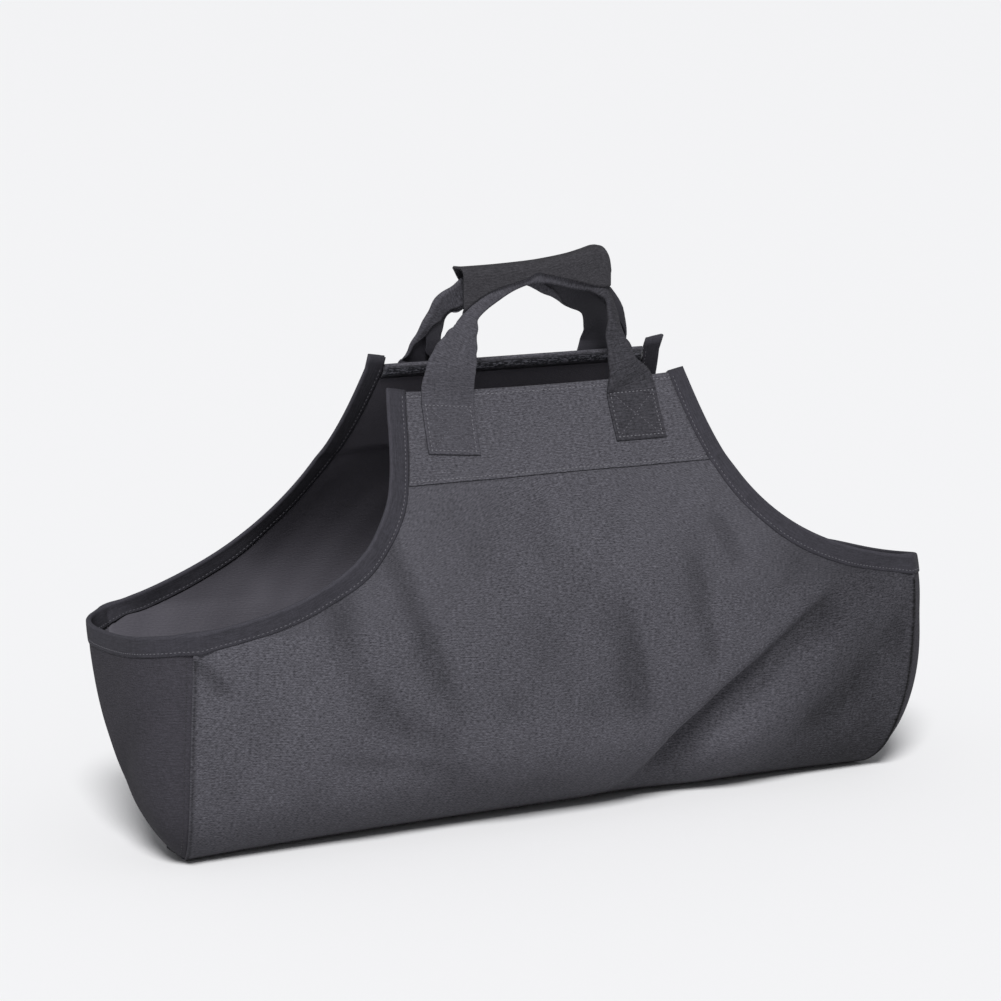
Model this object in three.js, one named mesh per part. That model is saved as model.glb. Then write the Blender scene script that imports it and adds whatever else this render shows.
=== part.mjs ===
// Log carrier: a canvas bag with open ends above two bulged end panels, bound edges and two
// straps that meet in a folded grip wrap. Millimetres, +Z up, front towards -Y, +X to the right.
// The origin is on the floor, under the middle of the bag.
import * as THREE from 'three';

// Cloth thicknesses and the clearance between neighbouring cloths.
const SHEET_THICK = 1.6;
const YOKE_THICK = 1.2;
const YOKE_INSET = 0.06;
const TAPE_THICK = 1.2;
const STRAP_THICK = 2.4;
const WRAP_THICK = 2;
const GAP = 0.4;

// Overall form of the bag.
const TOP = { half: 123, frontY: -25, frontZ: 327, backY: 12, backZ: 338 };
const YOKE = { half: 140, frontY: -64, frontZ: 261, backY: 56, backZ: 270 };
const RIM = { half: 300, frontY: -82, frontZ: 173, backY: 98, backZ: 158 };
const BELLY = { frontY: -101, frontZ: 162, backY: 114, backZ: 150 };
const BASE = {
  half: 288, midX: -5, z: SHEET_THICK / 2,
  frontEndY: -36, backEndY: -4, frontMidY: -20, backMidY: 36,
};
const ROUNDING = 2.4;
const HALF_COLUMNS = 16;

// Bound edges, straps and end panels.
const TAPE_WIDTH = 13;
const FRONT_EAR = 2;
const BACK_EAR = 8;
const TAPE_GAP = 0.6;
const CORNER_ROOM = 2;
const STRAP_WIDTH = 42;
const STRAP_GAP = 0.7;
const PATCHES = { left: { top: -77, low: -81 }, right: { top: 75, low: 73 } };
const END_BULGE = 30;
const END_DIP = 6;
const END_INSET = 1.5;
const END_CLEARANCE = 1.9;
const END_LIFT = 0.6;
const END_COLUMNS = 10;
const HEM_DEPTH = 10;
const WALL_FIRST = 0.06;
const WALL_FOOT = 0.96;
const NECK_CROWDING = 1.4;
const CORNER_STEP = 3;

// Stretches of the sheet, from the front's top edge under the bag to the back's top edge.
// middle holds the Bezier points of the line down the middle. edge holds those of the right-hand edge,
// with X measured from the middle.
const STRETCHES = [
  {
    face: 'front', steps: 6,
    edge: [
      [TOP.half, TOP.frontY, TOP.frontZ], [128, -36, 305], [131, -51, 282],
      [YOKE.half, YOKE.frontY, YOKE.frontZ],
    ],
    middle: [
      [0, TOP.frontY - 1, TOP.frontZ], [0, -34, 306], [0, -46, 284], [0, YOKE.frontY + 5, YOKE.frontZ + 2],
    ],
  },
  {
    face: 'front', steps: 8,
    edge: [
      [YOKE.half, YOKE.frontY, YOKE.frontZ], [157, -88, 223], [193, -106, 190],
      [RIM.half, RIM.frontY, RIM.frontZ],
    ],
    middle: [
      [0, YOKE.frontY + 5, YOKE.frontZ + 2], [0, -74, 239], [0, -97, 205], [0, BELLY.frontY, BELLY.frontZ],
    ],
  },
  {
    face: 'front', steps: 10,
    edge: [
      [RIM.half, RIM.frontY, RIM.frontZ], [309, -90, 105], [300, -80, 6],
      [BASE.half, BASE.frontEndY, BASE.z],
    ],
    middle: [
      [0, BELLY.frontY, BELLY.frontZ], [0, -103, 105], [BASE.midX, -91, 6],
      [BASE.midX, BASE.frontMidY, BASE.z],
    ],
  },
  {
    face: 'base', steps: 3,
    edge: [
      [BASE.half, BASE.frontEndY, BASE.z], [BASE.half, -25, BASE.z], [BASE.half, -15, BASE.z],
      [BASE.half, BASE.backEndY, BASE.z],
    ],
    middle: [
      [BASE.midX, BASE.frontMidY, BASE.z], [BASE.midX, -2, BASE.z], [BASE.midX, 17, BASE.z],
      [BASE.midX, BASE.backMidY, BASE.z],
    ],
  },
  {
    face: 'back', steps: 10,
    edge: [
      [BASE.half, BASE.backEndY, BASE.z], [299, -27, 26], [309, 60, 90],
      [RIM.half, RIM.backY, RIM.backZ],
    ],
    middle: [
      [BASE.midX, BASE.backMidY, BASE.z], [BASE.midX, 80, 2], [0, 112, 70], [0, BELLY.backY, BELLY.backZ],
    ],
  },
  {
    face: 'back', steps: 7,
    edge: [
      [RIM.half, RIM.backY, RIM.backZ], [193, 116, 178], [157, 84, 228],
      [YOKE.half, YOKE.backY, YOKE.backZ],
    ],
    middle: [
      [0, BELLY.backY, BELLY.backZ], [0, 116, 200], [0, 80, 246], [0, YOKE.backY + 1, YOKE.backZ + 2],
    ],
  },
  {
    face: 'back', steps: 6,
    edge: [
      [YOKE.half, YOKE.backY, YOKE.backZ], [131, 40, 292], [128, 24, 315],
      [TOP.half, TOP.backY, TOP.backZ],
    ],
    middle: [
      [0, YOKE.backY + 1, YOKE.backZ + 2], [0, 42, 294], [0, 25, 316], [0, TOP.backY, TOP.backZ],
    ],
  },
];
const [FRONT_YOKE, FRONT_NECK, FRONT_WALL, , BACK_WALL, BACK_NECK, BACK_YOKE] = STRETCHES.keys();

// Folds in the two faces: a line from (x0, z0) to (x1, z1), the depth of the valley, and how far
// it reaches on its upper and lower side.
const FOLDS = [
  { face: 'front', x0: 228, z0: 152, x1: 88, z1: 42, depth: 10, upper: 13, lower: 30 },
  { face: 'front', x0: 282, z0: 110, x1: 200, z1: 48, depth: 5, upper: 12, lower: 22 },
  { face: 'front', x0: -134, z0: 182, x1: -103, z1: 108, depth: 4, upper: 14, lower: 20 },
  { face: 'front', x0: -192, z0: 166, x1: -154, z1: 92, depth: 4, upper: 18, lower: 18 },
  { face: 'front', x0: -28, z0: 190, x1: -14, z1: 90, depth: 3, upper: 16, lower: 24 },
  { face: 'front', x0: 60, z0: 180, x1: 52, z1: 100, depth: 3, upper: 16, lower: 16 },
  { face: 'back', x0: 205, z0: 150, x1: 110, z1: 60, depth: 6, upper: 16, lower: 26 },
  { face: 'back', x0: -180, z0: 160, x1: -110, z1: 70, depth: 7, upper: 16, lower: 26 },
  { face: 'back', x0: 30, z0: 190, x1: 20, z1: 90, depth: 3, upper: 20, lower: 20 },
];

// Straps between the two patches: middle of the strap, its width and thickness there, and the way
// its outer side faces. The straps fold to a narrow, thick band under the wrap.
const FRONT_STRAP_PATH = [
  { x: -75, y: -32, z: 336, width: 38, thick: 2.6, face: [0, -1, 0.2] },
  { x: -65, y: -27, z: 358, width: 26, thick: 3.4, face: [-0.3, -0.95, 0.2] },
  { x: -54, y: -15.5, z: 378, width: 12, thick: 5, face: [-0.6, -0.6, 0.5] },
  { x: -34, y: -12.5, z: 389, width: 11, thick: 5.5, face: [-0.4, -0.3, 0.9] },
  { x: -8, y: -13.8, z: 399, width: 11, thick: 5.5, face: [-0.3, 0, 1] },
  { x: 28, y: -13.8, z: 405, width: 11, thick: 5.5, face: [0, 0, 1] },
  { x: 49, y: -13, z: 400, width: 11, thick: 5.5, face: [0.6, -0.3, 0.7] },
  { x: 60, y: -15.5, z: 382, width: 11, thick: 5, face: [0.8, -0.5, 0.3] },
  { x: 67, y: -25, z: 357, width: 17, thick: 3.8, face: [0.5, -0.85, 0.2] },
  { x: 71, y: -31, z: 337, width: 30, thick: 2.8, face: [0.1, -1, 0.2] },
];
const BACK_STRAP_PATH = [
  { x: -72, y: 17.5, z: 345, width: 36, thick: 2.6, face: [0, 1, 0.2] },
  { x: -73, y: 12, z: 357, width: 23, thick: 3.2, face: [-0.2, 0.97, 0.2] },
  { x: -70.5, y: 6.5, z: 371, width: 16, thick: 4.2, face: [-0.5, 0.8, 0.3] },
  { x: -61, y: 1.5, z: 386, width: 14, thick: 5, face: [-0.6, 0.5, 0.6] },
  { x: -44, y: -1.8, z: 398, width: 11, thick: 5.5, face: [-0.4, 0.2, 0.9] },
  { x: -22, y: -2.2, z: 403.5, width: 11, thick: 5.5, face: [0, 0, 1] },
  { x: 4, y: -2.2, z: 398.5, width: 11, thick: 5.5, face: [0.3, 0, 1] },
  { x: 34, y: -1, z: 387, width: 14, thick: 5, face: [0.4, 0.5, 0.7] },
  { x: 58, y: 3.5, z: 376, width: 25, thick: 3.6, face: [0.5, 0.85, 0.3] },
  { x: 74, y: 10, z: 362, width: 35, thick: 3, face: [0.2, 0.98, 0.2] },
  { x: 77, y: 17.5, z: 347, width: 39, thick: 2.6, face: [0, 1, 0.2] },
];

// Sections of the grip wrap from left to right: height of the top and of the lower edges in front and
// behind, half the depth, and how far the lower edges tuck in.
const WRAP_MIDDLE_Y = -8;
const WRAP_CORNER = 6;
const WRAP_SECTIONS = [
  { x: -57, top: 409, low: 379, lowBack: 400, half: 14, tuck: 0 },
  { x: -34, top: 409.5, low: 388, lowBack: 399, half: 14.5, tuck: 0.5 },
  { x: -4, top: 410, low: 403, lowBack: 401, half: 14.5, tuck: 0.5 },
  { x: 28, top: 411.5, low: 398, lowBack: 398, half: 14.5, tuck: 0.5 },
  { x: 50, top: 418, low: 392, lowBack: 398, half: 14.5, tuck: 0.5 },
  { x: 62, top: 421, low: 387, lowBack: 400, half: 15, tuck: 0 },
];

const lerp = THREE.MathUtils.lerp;
const vector = (x, y, z) => new THREE.Vector3(x, y, z);
const curveOf = (points) => new THREE.CubicBezierCurve3(...points.map((p) => vector(...p)));

const edgeCurves = STRETCHES.map((stretch) => curveOf(stretch.edge));
const middleCurves = STRETCHES.map((stretch) => curveOf(stretch.middle));

// A point of the sheet's middle surface: part t along a stretch, u from -1 at the left edge to 1.
function sheetPoint(stretch, t, u) {
  const edge = edgeCurves[stretch].getPoint(t);
  const middle = middleCurves[stretch].getPoint(t);
  const share = Math.abs(u) ** ROUNDING;
  return vector(middle.x + u * edge.x, lerp(middle.y, edge.y, share), lerp(middle.z, edge.z, share));
}

// How far the folds push a face inwards at (x, z).
function foldDepth(face, x, z) {
  let total = 0;
  for (const fold of FOLDS) {
    if (fold.face !== face) continue;
    const runX = fold.x1 - fold.x0;
    const runZ = fold.z1 - fold.z0;
    const length = Math.hypot(runX, runZ);
    const along = ((x - fold.x0) * runX + (z - fold.z0) * runZ) / length ** 2;
    const beside = ((z - fold.z0) * runX - (x - fold.x0) * runZ) / length;
    const above = Math.sign(runX) * beside;
    const reach = above > 0 ? fold.upper : fold.lower;
    const past = Math.max(0, Math.abs(along - 0.5) - 0.3) / 0.3;
    total += fold.depth * Math.exp(-((above / reach) ** 2) - past ** 2);
  }
  return total;
}

// The triangles of a grid of points, as [row, column] corners. Each cell splits along its shorter
// diagonal.
function gridTriangles(grid) {
  const triangles = [];
  for (let r = 0; r < grid.length - 1; r += 1) {
    for (let c = 0; c < grid[0].length - 1; c += 1) {
      const [a, b, d, e] = [[r, c], [r, c + 1], [r + 1, c], [r + 1, c + 1]];
      const falling = grid[r][c].distanceTo(grid[r + 1][c + 1]);
      const rising = grid[r][c + 1].distanceTo(grid[r + 1][c]);
      const falls = falling <= rising;
      triangles.push(...(falls ? [[a, d, e], [a, e, b]] : [[a, d, b], [b, d, e]]));
    }
  }
  return triangles;
}

// Outward normals of a grid of points whose rows run down the front and columns run to +X.
function gridNormals(grid) {
  const normals = grid.map((line) => line.map(() => vector(0, 0, 0)));
  for (const corners of gridTriangles(grid)) {
    const [p, q, s] = corners.map(([r, c]) => grid[r][c]);
    const across = q.clone().sub(p).cross(s.clone().sub(p));
    corners.forEach(([r, c]) => normals[r][c].add(across));
  }
  return normals.map((line) => line.map((normal) => normal.normalize()));
}

// A closed body between an outer and an inner grid of points.
function closedShell(outerGrid, innerGrid) {
  const rows = outerGrid.length;
  const columns = outerGrid[0].length;
  const corners = [outerGrid, innerGrid].flatMap((grid) => grid.flat().flatMap((point) => point.toArray()));
  const faces = [];
  const outer = (r, c) => r * columns + c;
  const inner = (r, c) => rows * columns + outer(r, c);
  for (const triangle of gridTriangles(outerGrid)) {
    faces.push(...triangle.map((corner) => outer(...corner)));
    faces.push(...triangle.toReversed().map((corner) => inner(...corner)));
  }
  const close = (a, b) => {
    faces.push(outer(...a), outer(...b), inner(...b));
    faces.push(outer(...a), inner(...b), inner(...a));
  };
  for (let c = 0; c < columns - 1; c += 1) {
    close([0, c], [0, c + 1]);
    close([rows - 1, c + 1], [rows - 1, c]);
  }
  for (let r = 0; r < rows - 1; r += 1) {
    close([r + 1, 0], [r, 0]);
    close([r, columns - 1], [r + 1, columns - 1]);
  }
  const geometry = new THREE.BufferGeometry();
  geometry.setAttribute('position', new THREE.Float32BufferAttribute(corners, 3));
  geometry.setIndex(faces);
  geometry.computeVertexNormals();
  return geometry;
}

// A wall of cloth about a grid of middle points. The thickness may change from row to row.
function clothWall(grid, thicknessOf) {
  const normals = gridNormals(grid);
  const layer = (side) => grid.map((line, r) => line.map((point, c) => (
    point.clone().addScaledVector(normals[r][c], side * thicknessOf(r))
  )));
  return closedShell(layer(0.5), layer(-0.5));
}

const carrier = new THREE.Group();
carrier.name = 'log_carrier';

function addPiece(name, geometry, colour) {
  const material = new THREE.MeshStandardMaterial({ color: colour, roughness: 0.9 });
  const mesh = new THREE.Mesh(geometry, material);
  mesh.name = name;
  carrier.add(mesh);
}

// Row numbers at which the stretches of the sheet end.
const stretchEnds = [];
STRETCHES.forEach((stretch, index) => {
  stretchEnds.push((index === 0 ? 0 : stretchEnds[index - 1]) + stretch.steps);
});

// Part of a stretch that a step reaches. The walls have a short step at the rim, one tape wide, and
// the steps of the necks get shorter towards the rim.
function shareAt(stretch, step) {
  const { steps } = STRETCHES[stretch];
  const evenly = (k) => (k === 0 ? 0 : WALL_FIRST + ((1 - WALL_FIRST) * (k - 1)) / (steps - 1));
  if (stretch === FRONT_WALL) return evenly(step);
  if (stretch === BACK_WALL) return 1 - evenly(steps - step);
  if (stretch === FRONT_NECK) return 1 - (1 - step / steps) ** NECK_CROWDING;
  if (stretch === BACK_NECK) return (step / steps) ** NECK_CROWDING;
  return step / steps;
}

const sheetRows = [];
STRETCHES.forEach((stretch, index) => {
  const first = index === 0 ? 0 : 1;
  for (let step = first; step <= stretch.steps; step += 1) {
    sheetRows.push({ stretch: index, face: stretch.face, t: shareAt(index, step) });
  }
});

// Where the foot of the edge binding lies on a row, as a share of the half row.
function bindingFoot({ stretch, t }, stretches) {
  const edge = stretches.flatMap((index) => edgeCurves[index].getPoints(120));
  let [low, high] = [0.5, 1];
  for (let turn = 0; turn < 30; turn += 1) {
    const middle = (low + high) / 2;
    const point = sheetPoint(stretch, t, middle);
    const nearest = Math.min(...edge.map((spot) => spot.distanceTo(point)));
    if (nearest > TAPE_WIDTH) low = middle;
    else high = middle;
  }
  return low;
}

const frontCornerRow = stretchEnds[FRONT_NECK];
const backCornerRow = stretchEnds[BACK_WALL];
const feet = sheetRows.map((row, r) => {
  if (r <= frontCornerRow) return bindingFoot(row, [FRONT_YOKE, FRONT_NECK]);
  if (r >= backCornerRow) return bindingFoot(row, [BACK_NECK, BACK_YOKE]);
  return WALL_FOOT;
});
const sheetColumns = [];
for (let c = -HALF_COLUMNS; c <= HALF_COLUMNS; c += 1) {
  sheetColumns.push(c);
}
const placeOnRow = (r, c) => (
  Math.abs(c) === HALF_COLUMNS ? Math.sign(c) : (feet[r] * c) / (HALF_COLUMNS - 1)
);

// The sheet's middle surface, folds included.
const smoothSheet = sheetRows.map((row, r) => (
  sheetColumns.map((c) => sheetPoint(row.stretch, row.t, placeOnRow(r, c)))
));
const smoothNormals = gridNormals(smoothSheet);
const sheet = smoothSheet.map((line, r) => line.map((point, c) => {
  const depth = foldDepth(sheetRows[r].face, point.x, point.z);
  return point.clone().addScaledVector(smoothNormals[r][c], -depth);
}));
addPiece('body_sheet', clothWall(sheet, () => SHEET_THICK), '#55545a');

const sheetNormals = gridNormals(sheet);

// End panel of one side: rows from the rim down to the base, columns from the front seam to the back one.
function endPanelGrid(side) {
  const column = side > 0 ? 2 * HALF_COLUMNS : 0;
  const seamPoint = (row) => {
    const point = sheet[row][column].clone().addScaledVector(sheetNormals[row][column], -END_CLEARANCE);
    point.x -= side * END_INSET;
    return point;
  };
  const steps = STRETCHES[FRONT_WALL].steps;
  const rows = [];
  for (let step = 0; step <= steps; step += 1) {
    const front = seamPoint(frontCornerRow + step);
    const back = seamPoint(backCornerRow - step);
    const down = shareAt(FRONT_WALL, step);
    const line = [];
    for (let c = 0; c <= END_COLUMNS; c += 1) {
      const share = (1 - Math.cos((Math.PI * c) / END_COLUMNS)) / 2;
      const point = front.clone().lerp(back, share);
      point.x += side * END_BULGE * (1 - down ** 3) ** 1.5 * (1 - (2 * share - 1) ** 4);
      point.z -= END_DIP * (1 - down) * 4 * share * (1 - share);
      point.z += END_LIFT * down ** 4;
      line.push(point);
    }
    rows.push(line);
  }
  return rows;
}

// Edge binding of one side: a strip folded over the sheet's edge and the end panel's rim.
function rimTape(side, panel, panelNormals) {
  const column = side > 0 ? 2 * HALF_COLUMNS : 0;
  const beside = side > 0 ? column - 1 : 1;
  const aside = (place, normal, distance) => place.clone().addScaledVector(normal, distance);
  const outerRows = [];
  const innerRows = [];
  const addRow = (edge, edgeNormal, foot, footNormal, ahead, room) => {
    const into = ahead.clone().cross(edgeNormal).normalize();
    if (into.dot(foot.clone().sub(edge)) < 0) into.negate();
    const strip = (rows, away) => {
      const leg = SHEET_THICK / 2 + room + away;
      const crown = aside(edge, into, -away);
      const line = [
        aside(foot, footNormal, leg), aside(crown, edgeNormal, leg),
        aside(crown, edgeNormal, -leg), aside(foot, footNormal, -leg),
      ];
      rows.push(side > 0 ? line : line.reverse());
    };
    strip(outerRows, TAPE_GAP + TAPE_THICK);
    strip(innerRows, TAPE_GAP);
  };
  const alongSheet = (row) => {
    const after = sheet[Math.min(row + 1, sheet.length - 1)][column];
    return after.clone().sub(sheet[Math.max(row - 1, 0)][column]);
  };
  const followSheet = (row) => addRow(
    sheet[row][column], sheetNormals[row][column],
    sheet[row][beside], sheetNormals[row][beside], alongSheet(row), 0,
  );
  // Two rows just before a corner, whose feet follow the sheet round it, and the row at the corner.
  const beforeCorner = (row, step, nearness, footRow) => {
    const back = CORNER_STEP / nearness;
    const ahead = sheet[row][column].clone().sub(sheet[row - step][column]);
    const edge = sheet[row][column].clone().addScaledVector(ahead.clone().normalize(), -back);
    addRow(
      edge, sheetNormals[row][column],
      sheet[footRow][beside], sheetNormals[footRow][beside], ahead.multiplyScalar(step),
      (CORNER_ROOM * nearness) / 2,
    );
  };
  const corner = (row, step, c) => {
    const edge = sheet[row][column].clone().lerp(panel[0][c], 0.5);
    const foot = sheet[row + step][column].clone().lerp(panel[1][c], 0.5);
    const normal = sheetNormals[row - step][column].clone().add(panelNormals[0][c]).normalize();
    const ahead = foot.clone().sub(edge).cross(normal);
    addRow(edge, normal, foot, normal, ahead, CORNER_ROOM);
  };
  const last = sheet.length - 1;
  for (let row = 0; row < frontCornerRow; row += 1) {
    followSheet(row);
  }
  beforeCorner(frontCornerRow, 1, 0.5, frontCornerRow);
  beforeCorner(frontCornerRow, 1, 1, frontCornerRow + 1);
  corner(frontCornerRow, 1, 0);
  for (let c = 1; c < END_COLUMNS; c += 1) {
    const ahead = panel[0][c + 1].clone().sub(panel[0][c - 1]);
    addRow(panel[0][c], panelNormals[0][c], panel[1][c], panelNormals[1][c], ahead, 0);
  }
  corner(backCornerRow, -1, END_COLUMNS);
  beforeCorner(backCornerRow, -1, 1, backCornerRow - 1);
  beforeCorner(backCornerRow, -1, 0.5, backCornerRow);
  for (let row = backCornerRow + 1; row <= last; row += 1) {
    followSheet(row);
  }
  const ear = (end, next, length) => {
    const away = sheet[end][column].clone().sub(sheet[next][column]).setLength(length);
    return (place) => place.clone().add(away);
  };
  for (const rows of [outerRows, innerRows]) {
    rows.unshift(rows[0].map(ear(0, 1, FRONT_EAR)));
    rows.push(rows[rows.length - 1].map(ear(last, last - 1, BACK_EAR)));
  }
  return closedShell(outerRows, innerRows);
}

for (const [side, word] of [[-1, 'left'], [1, 'right']]) {
  const panel = endPanelGrid(side);
  if (side < 0) panel.forEach((line) => line.reverse());
  const panelNormals = gridNormals(panel);
  addPiece(`end_panel_${word}`, clothWall(panel, () => SHEET_THICK), '#413f45');
  if (side < 0) {
    panel.forEach((line) => line.reverse());
    panelNormals.forEach((line) => line.reverse());
  }
  addPiece(`rim_tape_${word}`, rimTape(side, panel, panelNormals), '#515055');
}

// Yoke of one face: a band on the outside that folds over the top edge to a short hem inside.
function yoke(rowNumbers, hemSide) {
  const lift = SHEET_THICK / 2 + GAP + YOKE_THICK / 2;
  const topRow = rowNumbers[rowNumbers.length - 1];
  const columns = [];
  for (let c = 1; c < 2 * HALF_COLUMNS; c += 2) {
    columns.push(c);
  }
  const rows = rowNumbers.map((row) => columns.map((c) => (
    sheet[row][c].clone().addScaledVector(sheetNormals[row][c], lift)
  )));
  const upwards = columns.map((c) => (
    sheet[topRow][c].clone().sub(sheet[topRow + hemSide][c]).normalize()
  ));
  const overTop = (out, up) => columns.map((c, i) => sheet[topRow][c].clone()
    .addScaledVector(sheetNormals[topRow][c], out)
    .addScaledVector(upwards[i], up));
  rows.push(overTop(lift / 2, lift));
  rows.push(overTop(-lift / 2, lift));
  rows.push(overTop(-lift, 0));
  rows.push(overTop(-lift, -HEM_DEPTH));
  for (const line of rows) {
    line[0].lerp(line[1], YOKE_INSET);
    line[line.length - 1].lerp(line[line.length - 2], YOKE_INSET);
  }
  return rows;
}

const frontYokeRows = [];
for (let row = stretchEnds[FRONT_YOKE]; row >= 0; row -= 1) {
  frontYokeRows.push(row);
}
const frontYoke = yoke(frontYokeRows, 1);
frontYoke.forEach((line) => line.reverse());
addPiece('front_yoke', clothWall(frontYoke, () => YOKE_THICK), '#58575e');
const backYokeRows = [];
for (let row = stretchEnds[BACK_NECK]; row <= stretchEnds[BACK_YOKE]; row += 1) {
  backYokeRows.push(row);
}
addPiece('back_yoke', clothWall(yoke(backYokeRows, -1), () => YOKE_THICK), '#58575e');

// Strap of one face: up from the left patch, along the grip and down to the right patch.
function strap(stretch, patchShares, path) {
  const lift = SHEET_THICK / 2 + GAP + YOKE_THICK + STRAP_GAP + STRAP_THICK / 2;
  const patchStation = (t, patch, k) => {
    const x = lerp(patch.low, patch.top, k / (patchShares.length - 1));
    const u = x / edgeCurves[stretch].getPoint(t).x;
    const step = 0.01;
    const point = sheetPoint(stretch, t, u);
    const down = sheetPoint(stretch, t + step, u).sub(sheetPoint(stretch, t - step, u));
    const right = sheetPoint(stretch, t, u + step).sub(sheetPoint(stretch, t, u - step));
    const normal = down.cross(right).normalize();
    const place = point.addScaledVector(normal, lift);
    const [px, py, pz] = place.toArray();
    return { x: px, y: py, z: pz, width: STRAP_WIDTH, thick: STRAP_THICK, face: normal.toArray() };
  };
  const keys = [
    ...patchShares.map((t, k) => patchStation(t, PATCHES.left, k)),
    ...path,
    ...patchShares.map((t, k) => patchStation(t, PATCHES.right, k)).reverse(),
  ];
  const places = keys.map((key) => vector(key.x, key.y, key.z));
  const line = new THREE.CatmullRomCurve3(places, false, 'centripetal');
  const between = (at, pick) => {
    const low = Math.min(Math.floor(at), keys.length - 2);
    const share = THREE.MathUtils.smoothstep(at - low, 0, 1);
    return lerp(pick(keys[low]), pick(keys[low + 1]), share);
  };
  const stationCount = 2 * (keys.length - 1);
  const stations = [];
  for (let i = 0; i <= stationCount; i += 1) {
    const at = i / 2;
    const share = i / stationCount;
    const ahead = line.getTangent(share);
    const face = vector(
      between(at, (key) => key.face[0]),
      between(at, (key) => key.face[1]),
      between(at, (key) => key.face[2]),
    );
    face.addScaledVector(ahead, -face.dot(ahead)).normalize();
    stations.push({
      point: line.getPoint(share),
      across: ahead.clone().cross(face),
      width: between(at, (key) => key.width),
      thick: between(at, (key) => key.thick),
    });
  }
  const grid = stations.map((station) => [-0.5, 0, 0.5].map((side) => (
    station.point.clone().addScaledVector(station.across, -side * station.width)
  )));
  return clothWall(grid, (r) => stations[r].thick);
}

addPiece('front_strap', strap(FRONT_YOKE, [0.78, 0.56, 0.36, 0.17], FRONT_STRAP_PATH), '#4c4b52');
addPiece('back_strap', strap(BACK_YOKE, [0.22, 0.44, 0.64, 0.83], BACK_STRAP_PATH), '#4c4b52');

// Grip wrap: a cloth folded over both straps, open below, taller at its ends than in the middle.
function gripWrap() {
  const pieces = 3;
  const sections = [];
  for (let i = 0; i < WRAP_SECTIONS.length - 1; i += 1) {
    for (let k = i === 0 ? 0 : 1; k <= pieces; k += 1) {
      const share = k / pieces;
      const mix = (name) => lerp(WRAP_SECTIONS[i][name], WRAP_SECTIONS[i + 1][name], share);
      sections.push(Object.fromEntries(Object.keys(WRAP_SECTIONS[i]).map((name) => [name, mix(name)])));
    }
  }
  const grid = sections.map((section) => {
    const line = [];
    const crown = section.top - WRAP_THICK / 2;
    const place = (y, z) => line.push(vector(section.x, WRAP_MIDDLE_Y + y, z));
    const turns = 3;
    const flap = (sign, angles) => {
      for (const k of angles) {
        const angle = (k / turns) * (Math.PI / 2);
        const out = section.half - WRAP_CORNER * (1 - Math.cos(angle));
        place(sign * out, crown - WRAP_CORNER * (1 - Math.sin(angle)));
      }
    };
    place(-section.half + section.tuck, section.low);
    flap(-1, [0, 1, 2, 3]);
    flap(1, [3, 2, 1, 0]);
    place(section.half - section.tuck, section.lowBack);
    return line;
  });
  return clothWall(grid, () => WRAP_THICK);
}

addPiece('grip_wrap', gripWrap(), '#4b4b4e');

export default carrier;
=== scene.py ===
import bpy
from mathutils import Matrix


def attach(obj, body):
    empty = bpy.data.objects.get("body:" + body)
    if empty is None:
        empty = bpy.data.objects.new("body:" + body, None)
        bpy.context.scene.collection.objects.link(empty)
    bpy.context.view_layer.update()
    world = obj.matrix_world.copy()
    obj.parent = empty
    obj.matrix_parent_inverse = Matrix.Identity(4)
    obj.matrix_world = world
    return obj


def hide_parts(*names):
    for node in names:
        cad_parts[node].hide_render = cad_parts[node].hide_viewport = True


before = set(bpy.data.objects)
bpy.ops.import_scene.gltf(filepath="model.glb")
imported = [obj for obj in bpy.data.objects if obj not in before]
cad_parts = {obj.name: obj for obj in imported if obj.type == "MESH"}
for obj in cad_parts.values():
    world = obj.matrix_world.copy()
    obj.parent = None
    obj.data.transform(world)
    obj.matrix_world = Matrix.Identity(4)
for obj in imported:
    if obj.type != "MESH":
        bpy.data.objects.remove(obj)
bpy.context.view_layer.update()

import math

import bpy
import numpy as np
from mathutils import Vector
from mathutils.bvhtree import BVHTree

# Lengths are in millimetres until a mesh is made. The frame is that of the solids.
MM = 0.001

# Cloth thicknesses and the small gaps between cloths that lie on each other.
SHEET_THICK = 1.5
YOKE_THICK = 0.8
TAPE_THICK = 0.6
STRAP_THICK = 1.1
WRAP_THICK = 1.5
PLY_GAP = 0.3
YOKE_GAP = 0.25

# Sheet: how sharply its rows bend towards the edges, points across it, and the run below the top bands over
# which its dip under them ends.
ROUNDING = 2.4
SHEET_COLUMNS = 181
DIP_RUN = 3

# Bound edges, straps and end panels. The patches' places are given at the foot and at the top.
TAPE_WIDTH = 13
TAPE_STEP = 2.5
FRONT_EAR = 6
BACK_EAR = 13
EAR_LEAN = 2.5
CORNER_ROOM = 1.4
STRAP_WIDTH = 42
PATCH_LENGTH = 41
LEFT_PATCH_X = (-83, -79)
RIGHT_PATCH_X = (74, 74.5)
END_BULGE = 30
END_DIP = 6
END_INSET = 1.0
END_CLEARANCE = 1.3
END_LIFT = -0.3
END_COLUMNS = 60
HEM_DEPTH = 10

# Corners of the sheet's outline, from the front's top edge under the bag to the back's top edge: the point
# on the right-hand edge, with X measured from the middle, and the one on the line down the middle.
BASE_Z = 0.8
CORNERS = (
    ((124, -27, 323), (0, -28, 320)),
    ((140, -64, 261), (0, -59, 260)),
    ((300, -82, 173), (0, -101, 162)),
    ((288, -36, BASE_Z), (-5, -20, BASE_Z)),
    ((288, -4, BASE_Z), (-5, 36, BASE_Z)),
    ((300, 98, 158), (0, 114, 150)),
    ((140, 56, 270), (0, 57, 272)),
    ((123, 12, 338), (0, 12, 338)),
)

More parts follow.
